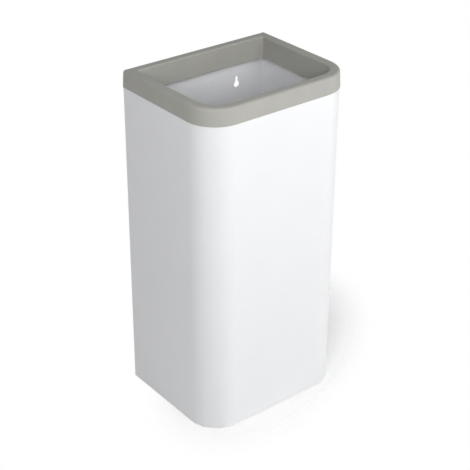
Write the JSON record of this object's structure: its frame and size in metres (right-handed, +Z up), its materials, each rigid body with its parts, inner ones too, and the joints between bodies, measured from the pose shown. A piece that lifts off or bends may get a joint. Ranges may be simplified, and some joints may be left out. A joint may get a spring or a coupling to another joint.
{
  "type": "wastepaper bin",
  "caption": "Rectangular sheet-steel wastepaper bin with round front corners, keyholes in its flat back and a moulded cover rim that lifts off.",
  "frame": {"origin": "floor level, in the middle of the overall footprint", "axes": "+X to the right of someone facing the front, +Y towards the wall, +Z up"},
  "size_m": [0.2724, 0.2112, 0.5483],
  "materials": {
    "powder_coat": "white satin powder coat with a fine orange peel",
    "rim_plastic": "stone grey moulded plastic with a fine matt grain",
    "foot_rubber": "black rubber"
  },
  "bodies": {
    "bin_body": {"shell_wrap": "powder_coat", "back_panel": "powder_coat", "base_pan": "powder_coat", "foot_front_left": "foot_rubber", "foot_front_right": "foot_rubber", "foot_rear_left": "foot_rubber", "foot_rear_right": "foot_rubber"},
    "rim": {"cover_rim": "rim_plastic"}
  },
  "joints": [
    {"name": "rim_lift", "type": "slide", "parent": "bin_body", "child": "rim", "axis": [0, 0, 1], "range_m": [0, 0.06]}
  ]
}
